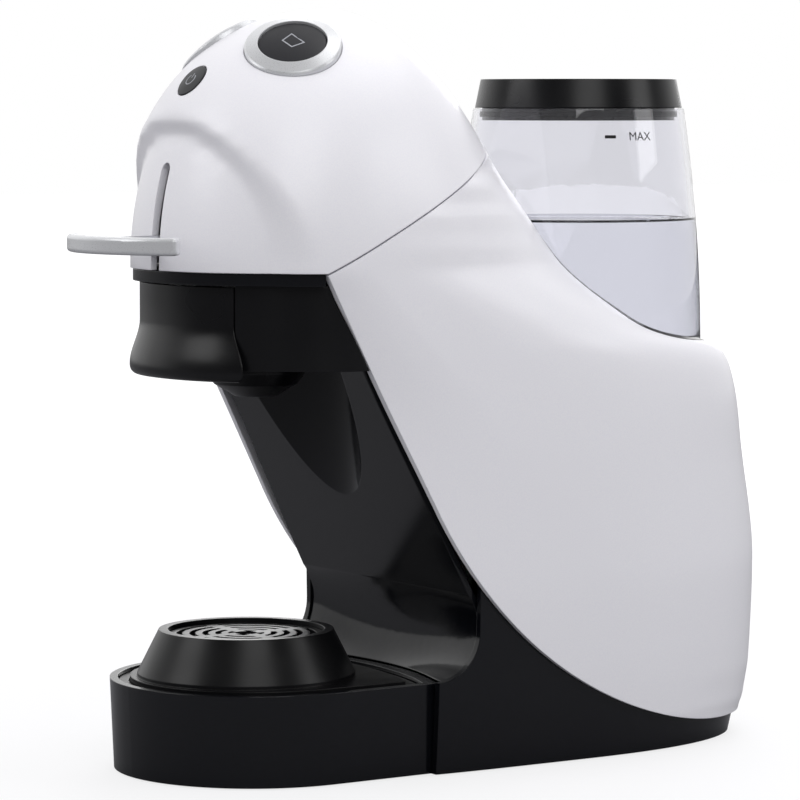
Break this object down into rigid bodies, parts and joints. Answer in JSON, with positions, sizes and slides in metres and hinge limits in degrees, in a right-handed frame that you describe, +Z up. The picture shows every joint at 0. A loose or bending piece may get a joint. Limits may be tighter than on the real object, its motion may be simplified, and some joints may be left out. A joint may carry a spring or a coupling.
{
  "type": "pod coffee machine",
  "caption": "Compact pod coffee machine with a white domed head, a bowed lever, a pod drawer, a drip tray and a clear water tank at the back.",
  "frame": {"origin": "middle of the bounding box at the floor", "axes": "+Z up, the front with the lever and the tray faces -Y, +X is the machine's left-hand side"},
  "size_m": [0.128, 0.2888, 0.2802],
  "materials": {
    "gloss_white": "gloss",
    "gloss_black": "gloss",
    "satin_black": "satin",
    "satin_silver": "satin",
    "pearl_silver": "satin",
    "charcoal": "satin",
    "clear_jar": "clear",
    "grey_plastic": "satin",
    "black_rubber": "matt",
    "pale_hose": "satin",
    "steel": "satin",
    "boiler_metal": "satin",
    "board_green": "satin"
  },
  "bodies": {
    "machine": {"base_shell": "gloss_black", "base_plate": "satin_black", "base_screws": "steel", "rubber_feet": "black_rubber", "cord_gland": "satin_black", "front_panel": "gloss_black", "body_shell": "gloss_white", "tank_seat": "satin_black", "seat_seal": "black_rubber", "head_cover": "gloss_white", "rim_band": "gloss_black", "brew_housing": "satin_black", "outlet_nozzle": "satin_black", "lever_pin": "steel", "lever_bracket": "steel", "bracket_screws": "steel", "brew_bezel_left": "pearl_silver", "brew_bezel_right": "pearl_silver", "power_socket": "satin_black", "switches": "grey_plastic", "boiler": "boiler_metal", "boiler_shelf": "satin_black", "pump": "boiler_metal", "pump_mounts": "black_rubber", "flow_meter": "grey_plastic", "supply_hose": "pale_hose", "pressure_hose": "pale_hose", "control_board": "board_green", "board_parts": "grey_plastic"},
    "tray": {"tray_housing": "gloss_black", "drip_tray": "satin_black", "tray_feet": "black_rubber"},
    "stand": {"cup_stand": "gloss_black", "drip_grille": "satin_black"},
    "drawer": {"pod_holder": "satin_black"},
    "lever": {"lever_handle": "satin_silver", "lever_arm": "satin_silver", "piston_pin": "steel"},
    "piston": {"brew_piston": "grey_plastic", "piston_seal": "black_rubber", "piercing_needle": "steel"},
    "tank": {"water_tank": "clear_jar", "tank_collar": "grey_plastic", "tank_valve": "grey_plastic"},
    "lid": {"tank_lid": "satin_black", "lid_seal": "black_rubber"},
    "left_button": {"brew_button_left": "charcoal"},
    "right_button": {"brew_button_right": "charcoal"},
    "power": {"power_button": "charcoal"}
  },
  "joints": [
    {"name": "tray_slide", "type": "slide", "parent": "machine", "child": "tray", "axis": [0, -1, 0], "range_m": [0, 0.07]},
    {"name": "stand_lift", "type": "slide", "parent": "tray", "child": "stand", "axis": [0, 0, 1], "range_m": [0, 0.04]},
    {"name": "drawer_slide", "type": "slide", "parent": "machine", "child": "drawer", "axis": [0, -1, 0], "range_m": [0, 0.06]},
    {"name": "lever_hinge", "type": "hinge", "parent": "machine", "child": "lever", "pos_m": [0, -0.048, 0.205], "axis": [-1, 0, 0], "range_deg": [0, 20]},
    {"name": "piston_slide", "type": "slide", "parent": "machine", "child": "piston", "axis": [0, 0, 1], "range_m": [0, 0.0088]},
    {"name": "tank_lift", "type": "slide", "parent": "machine", "child": "tank", "axis": [0, 0, 1], "range_m": [0, 0.06]},
    {"name": "lid_lift", "type": "slide", "parent": "tank", "child": "lid", "axis": [0, 0, 1], "range_m": [0, 0.03]},
    {"name": "left_press", "type": "slide", "parent": "machine", "child": "left_button", "axis": [0.4737, 0.353, -0.8068], "range_m": [0, 0.002], "stiffness_N_per_m": 600},
    {"name": "right_press", "type": "slide", "parent": "machine", "child": "right_button", "axis": [-0.4737, 0.353, -0.8068], "range_m": [0, 0.002], "stiffness_N_per_m": 600},
    {"name": "power_press", "type": "slide", "parent": "machine", "child": "power", "axis": [0, 0.7687, -0.6396], "range_m": [0, 0.0015], "stiffness_N_per_m": 600}
  ],
  "couplings": [
    {"joint": "piston_slide", "follows": "lever_hinge", "m_per_rad": 0.0249}
  ]
}
